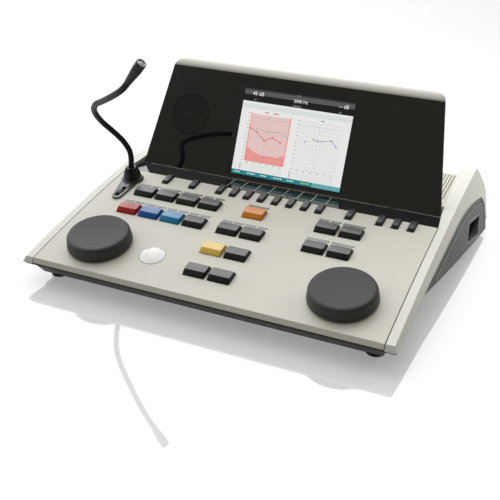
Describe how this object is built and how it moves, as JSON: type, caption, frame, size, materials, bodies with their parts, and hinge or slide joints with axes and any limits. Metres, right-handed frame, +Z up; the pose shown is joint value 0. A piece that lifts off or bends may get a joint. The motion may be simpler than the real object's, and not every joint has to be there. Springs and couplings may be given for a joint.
{
  "type": "audiometer",
  "caption": "Desktop audiometer console with a crowned control plate, turning dials, coloured keys, a folding display head and a gooseneck microphone.",
  "frame": {"origin": "middle of the footprint, on the plane that the feet stand on", "axes": "+X to the right and +Y to the rear as seen by the person at the controls, +Z up"},
  "size_m": [0.3718, 0.2966, 0.1965],
  "materials": {
    "case_white": "fine satin texture, off-white",
    "cheek_white": "fine satin texture, pale off-white",
    "panel_grey": "fine matte texture, dark grey",
    "case_black": "matte black",
    "gloss_black": "polished black",
    "board_green": "solder mask",
    "bar_grey": "clear grey lens",
    "steel": "plain steel",
    "rubber_black": "matte rubber",
    "screen_glass": "clear window over the screen",
    "module_grey": "metal-framed module",
    "switch_white": "polished white",
    "lever_grey": "satin grey",
    "dial_black": "soft matte black",
    "neck_black": "satin black sleeve",
    "capsule_metal": "black metal with a wire mesh end",
    "key_dark": "satin dark grey",
    "key_red": "satin red",
    "key_blue": "satin blue",
    "key_light_blue": "satin light blue",
    "key_orange": "satin orange",
    "key_yellow": "satin yellow"
  },
  "bodies": {
    "console": {"top_plate": "case_white", "left_cheek": "cheek_white", "right_cheek": "cheek_white", "side_grips": "panel_grey", "bottom_case": "case_black", "rear_deck": "case_white", "connector_panel": "panel_grey", "key_ledge": "gloss_black", "control_board": "board_green", "main_board": "board_green", "light_bars": "bar_grey", "sockets": "case_black", "fixings": "steel", "feet": "rubber_black", "mic_collet": "lever_grey"},
    "display_head": {"display_front": "gloss_black", "display_window": "screen_glass", "display_shell": "case_white", "lcd_module": "module_grey", "speaker_driver": "case_black"},
    "neck_lower": {"mic_arm": "neck_black"},
    "neck_upper": {"mic_boom": "neck_black", "mic_capsule": "capsule_metal"},
    "tone_button": {"tone_switch": "switch_white"},
    "lever": {"talk_lever": "lever_grey"},
    "dial_left": {"left_dial": "dial_black"},
    "dial_right": {"right_dial": "dial_black"},
    "key_a1_cap": {"key_a1": "key_dark"},
    "key_a2_cap": {"key_a2": "key_dark"},
    "key_a3_cap": {"key_a3": "key_dark"},
    "key_a4_cap": {"key_a4": "key_dark"},
    "key_a5_cap": {"key_a5": "key_orange"},
    "key_a6_cap": {"key_a6": "key_dark"},
    "key_a7_cap": {"key_a7": "key_dark"},
    "key_b1_cap": {"key_b1": "key_red"},
    "key_b2_cap": {"key_b2": "key_blue"},
    "key_b3_cap": {"key_b3": "key_light_blue"},
    "key_b4_cap": {"key_b4": "key_dark"},
    "key_b5_cap": {"key_b5": "key_dark"},
    "key_b6_cap": {"key_b6": "key_dark"},
    "key_b7_cap": {"key_b7": "key_dark"},
    "key_b8_cap": {"key_b8": "key_dark"},
    "key_c1_cap": {"key_c1": "key_yellow"},
    "key_c2_cap": {"key_c2": "key_dark"},
    "key_d1_cap": {"key_d1": "key_dark"},
    "key_d2_cap": {"key_d2": "key_dark"},
    "soft_key_1_cap": {"soft_key_1": "key_dark"},
    "soft_key_2_cap": {"soft_key_2": "key_dark"},
    "soft_key_3_cap": {"soft_key_3": "key_dark"},
    "soft_key_4_cap": {"soft_key_4": "key_dark"},
    "soft_key_5_cap": {"soft_key_5": "key_dark"},
    "soft_key_6_cap": {"soft_key_6": "key_dark"},
    "soft_key_7_cap": {"soft_key_7": "key_dark"},
    "soft_key_8_cap": {"soft_key_8": "key_dark"},
    "side_key_1_cap": {"side_key_1": "key_dark"},
    "side_key_2_cap": {"side_key_2": "key_dark"},
    "side_key_3_cap": {"side_key_3": "key_dark"},
    "side_key_4_cap": {"side_key_4": "key_dark"},
    "side_key_5_cap": {"side_key_5": "key_dark"},
    "side_key_6_cap": {"side_key_6": "key_dark"}
  },
  "joints": [
    {"name": "head_tilt", "type": "hinge", "parent": "console", "child": "display_head", "pos_m": [0, 0.05264, 0.04984], "axis": [1, 0, 0], "range_deg": [-59.5, 12]},
    {"name": "mic_swivel", "type": "hinge", "parent": "console", "child": "neck_lower", "pos_m": [-0.14, -0.005, 0.04174], "axis": [0, -0.0837, 0.9965], "range_deg": [-60, 60]},
    {"name": "mic_bend", "type": "hinge", "parent": "neck_lower", "child": "neck_upper", "pos_m": [-0.1435, -0.05406, 0.12994], "axis": [0.7625, 0.6447, 0.0542], "range_deg": [-30, 30]},
    {"name": "tone_press", "type": "slide", "parent": "console", "child": "tone_button", "axis": [0, -0.149, 0.9888], "range_m": [-0.0012, 0], "stiffness_N_per_m": 500},
    {"name": "lever_slide", "type": "slide", "parent": "console", "child": "lever", "axis": [0, 0.995, 0.0999], "range_m": [-0.005, 0.005]},
    {"name": "left_dial_turn", "type": "hinge", "parent": "console", "child": "dial_left", "pos_m": [-0.1115, -0.1094, 0.02952], "axis": [0, -0.1485, 0.9889], "continuous": true},
    {"name": "right_dial_turn", "type": "hinge", "parent": "console", "child": "dial_right", "pos_m": [0.1115, -0.1094, 0.02952], "axis": [0, -0.1485, 0.9889], "continuous": true},
    {"name": "key_a1_press", "type": "slide", "parent": "console", "child": "key_a1_cap", "axis": [0, -0.0951, 0.9955], "range_m": [-0.0015, 0], "stiffness_N_per_m": 500},
    {"name": "key_a2_press", "type": "slide", "parent": "console", "child": "key_a2_cap", "axis": [0, -0.0951, 0.9955], "range_m": [-0.0015, 0], "stiffness_N_per_m": 500},
    {"name": "key_a3_press", "type": "slide", "parent": "console", "child": "key_a3_cap", "axis": [0, -0.0951, 0.9955], "range_m": [-0.0015, 0], "stiffness_N_per_m": 500},
    {"name": "key_a4_press", "type": "slide", "parent": "console", "child": "key_a4_cap", "axis": [0, -0.0951, 0.9955], "range_m": [-0.0015, 0], "stiffness_N_per_m": 500},
    {"name": "key_a5_press", "type": "slide", "parent": "console", "child": "key_a5_cap", "axis": [0, -0.0951, 0.9955], "range_m": [-0.0015, 0], "stiffness_N_per_m": 500},
    {"name": "key_a6_press", "type": "slide", "parent": "console", "child": "key_a6_cap", "axis": [0, -0.0951, 0.9955], "range_m": [-0.0015, 0], "stiffness_N_per_m": 500},
    {"name": "key_a7_press", "type": "slide", "parent": "console", "child": "key_a7_cap", "axis": [0, -0.0951, 0.9955], "range_m": [-0.0015, 0], "stiffness_N_per_m": 500},
    {"name": "key_b1_press", "type": "slide", "parent": "console", "child": "key_b1_cap", "axis": [0, -0.1143, 0.9934], "range_m": [-0.0015, 0], "stiffness_N_per_m": 500},
    {"name": "key_b2_press", "type": "slide", "parent": "console", "child": "key_b2_cap", "axis": [0, -0.1143, 0.9934], "range_m": [-0.0015, 0], "stiffness_N_per_m": 500},
    {"name": "key_b3_press", "type": "slide", "parent": "console", "child": "key_b3_cap", "axis": [0, -0.1143, 0.9934], "range_m": [-0.0015, 0], "stiffness_N_per_m": 500},
    {"name": "key_b4_press", "type": "slide", "parent": "console", "child": "key_b4_cap", "axis": [0, -0.1143, 0.9934], "range_m": [-0.0015, 0], "stiffness_N_per_m": 500},
    {"name": "key_b5_press", "type": "slide", "parent": "console", "child": "key_b5_cap", "axis": [0, -0.1143, 0.9934], "range_m": [-0.0015, 0], "stiffness_N_per_m": 500},
    {"name": "key_b6_press", "type": "slide", "parent": "console", "child": "key_b6_cap", "axis": [0, -0.1143, 0.9934], "range_m": [-0.0015, 0], "stiffness_N_per_m": 500},
    {"name": "key_b7_press", "type": "slide", "parent": "console", "child": "key_b7_cap", "axis": [0, -0.1143, 0.9934], "range_m": [-0.0015, 0], "stiffness_N_per_m": 500},
    {"name": "key_b8_press", "type": "slide", "parent": "console", "child": "key_b8_cap", "axis": [0, -0.1143, 0.9934], "range_m": [-0.0015, 0], "stiffness_N_per_m": 500},
    {"name": "key_c1_press", "type": "slide", "parent": "console", "child": "key_c1_cap", "axis": [0, -0.1335, 0.991], "range_m": [-0.0015, 0], "stiffness_N_per_m": 500},
    {"name": "key_c2_press", "type": "slide", "parent": "console", "child": "key_c2_cap", "axis": [0, -0.1335, 0.991], "range_m": [-0.0015, 0], "stiffness_N_per_m": 500},
    {"name": "key_d1_press", "type": "slide", "parent": "console", "child": "key_d1_cap", "axis": [0, -0.1528, 0.9883], "range_m": [-0.0015, 0], "stiffness_N_per_m": 500},
    {"name": "key_d2_press", "type": "slide", "parent": "console", "child": "key_d2_cap", "axis": [0, -0.1528, 0.9883], "range_m": [-0.0015, 0], "stiffness_N_per_m": 500},
    {"name": "soft_key_1_press", "type": "slide", "parent": "console", "child": "soft_key_1_cap", "axis": [0, -0.0771, 0.997], "range_m": [-0.001, 0], "stiffness_N_per_m": 500},
    {"name": "soft_key_2_press", "type": "slide", "parent": "console", "child": "soft_key_2_cap", "axis": [0, -0.0771, 0.997], "range_m": [-0.001, 0], "stiffness_N_per_m": 500},
    {"name": "soft_key_3_press", "type": "slide", "parent": "console", "child": "soft_key_3_cap", "axis": [0, -0.0771, 0.997], "range_m": [-0.001, 0], "stiffness_N_per_m": 500},
    {"name": "soft_key_4_press", "type": "slide", "parent": "console", "child": "soft_key_4_cap", "axis": [0, -0.0771, 0.997], "range_m": [-0.001, 0], "stiffness_N_per_m": 500},
    {"name": "soft_key_5_press", "type": "slide", "parent": "console", "child": "soft_key_5_cap", "axis": [0, -0.0771, 0.997], "range_m": [-0.001, 0], "stiffness_N_per_m": 500},
    {"name": "soft_key_6_press", "type": "slide", "parent": "console", "child": "soft_key_6_cap", "axis": [0, -0.0771, 0.997], "range_m": [-0.001, 0], "stiffness_N_per_m": 500},
    {"name": "soft_key_7_press", "type": "slide", "parent": "console", "child": "soft_key_7_cap", "axis": [0, -0.0771, 0.997], "range_m": [-0.001, 0], "stiffness_N_per_m": 500},
    {"name": "soft_key_8_press", "type": "slide", "parent": "console", "child": "soft_key_8_cap", "axis": [0, -0.0771, 0.997], "range_m": [-0.001, 0], "stiffness_N_per_m": 500},
    {"name": "side_key_1_press", "type": "slide", "parent": "console", "child": "side_key_1_cap", "axis": [0, -0.0771, 0.997], "range_m": [-0.001, 0], "stiffness_N_per_m": 500},
    {"name": "side_key_2_press", "type": "slide", "parent": "console", "child": "side_key_2_cap", "axis": [0, -0.0771, 0.997], "range_m": [-0.001, 0], "stiffness_N_per_m": 500},
    {"name": "side_key_3_press", "type": "slide", "parent": "console", "child": "side_key_3_cap", "axis": [0, -0.0771, 0.997], "range_m": [-0.001, 0], "stiffness_N_per_m": 500},
    {"name": "side_key_4_press", "type": "slide", "parent": "console", "child": "side_key_4_cap", "axis": [0, -0.0771, 0.997], "range_m": [-0.001, 0], "stiffness_N_per_m": 500},
    {"name": "side_key_5_press", "type": "slide", "parent": "console", "child": "side_key_5_cap", "axis": [0, -0.0771, 0.997], "range_m": [-0.001, 0], "stiffness_N_per_m": 500},
    {"name": "side_key_6_press", "type": "slide", "parent": "console", "child": "side_key_6_cap", "axis": [0, -0.0771, 0.997], "range_m": [-0.001, 0], "stiffness_N_per_m": 500}
  ]
}
